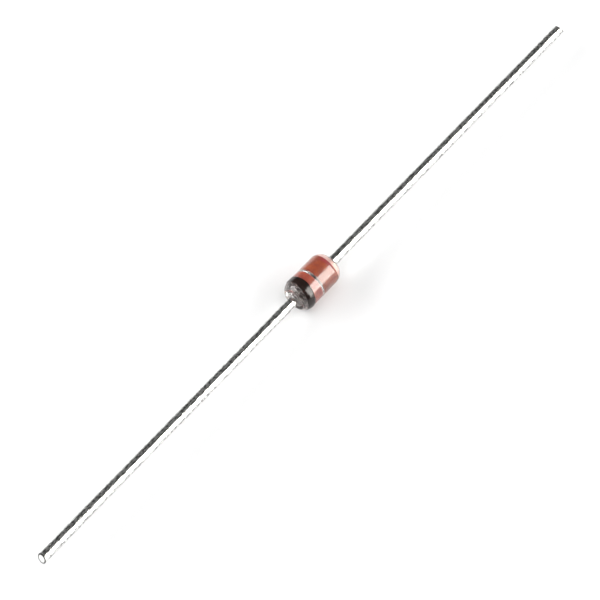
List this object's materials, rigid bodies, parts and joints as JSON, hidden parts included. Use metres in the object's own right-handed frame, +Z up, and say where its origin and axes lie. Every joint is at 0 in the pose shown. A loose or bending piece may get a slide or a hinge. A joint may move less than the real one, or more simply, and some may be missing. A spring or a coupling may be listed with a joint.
{
  "type": "zener diode",
  "caption": "Axial zener diode: clear glass sleeve fused over red metal studs and a chip, black cathode band, straight tinned wire leads for soldering into a board.",
  "frame": {"origin": "middle of the chip, which is the centre of the glass body and of the whole part", "axes": "+X along the axis from the cathode (band end) to the anode, +Z up, +Y across"},
  "size_m": [0.0596, 0.0026, 0.0026],
  "materials": {
    "sealing_glass": "clear, fire polished",
    "oxide_stud": "copper-clad metal with a baked red oxide skin, seen through the glass",
    "tinned_wire": "bright hot-tinned wire with faint drawing lines",
    "silicon": "sawn grey silicon",
    "contact_silver": "plated silver",
    "band_ink": "black printed ink, baked, half gloss"
  },
  "bodies": {
    "root": {"glass_sleeve": "sealing_glass", "cathode_stud": "oxide_stud", "anode_stud": "oxide_stud", "cathode_weld": "tinned_wire", "anode_weld": "tinned_wire", "cathode_lead": "tinned_wire", "anode_lead": "tinned_wire", "zener_die": "silicon", "cathode_bump": "contact_silver", "anode_bump": "contact_silver", "cathode_band": "band_ink"}
  },
  "joints": []
}
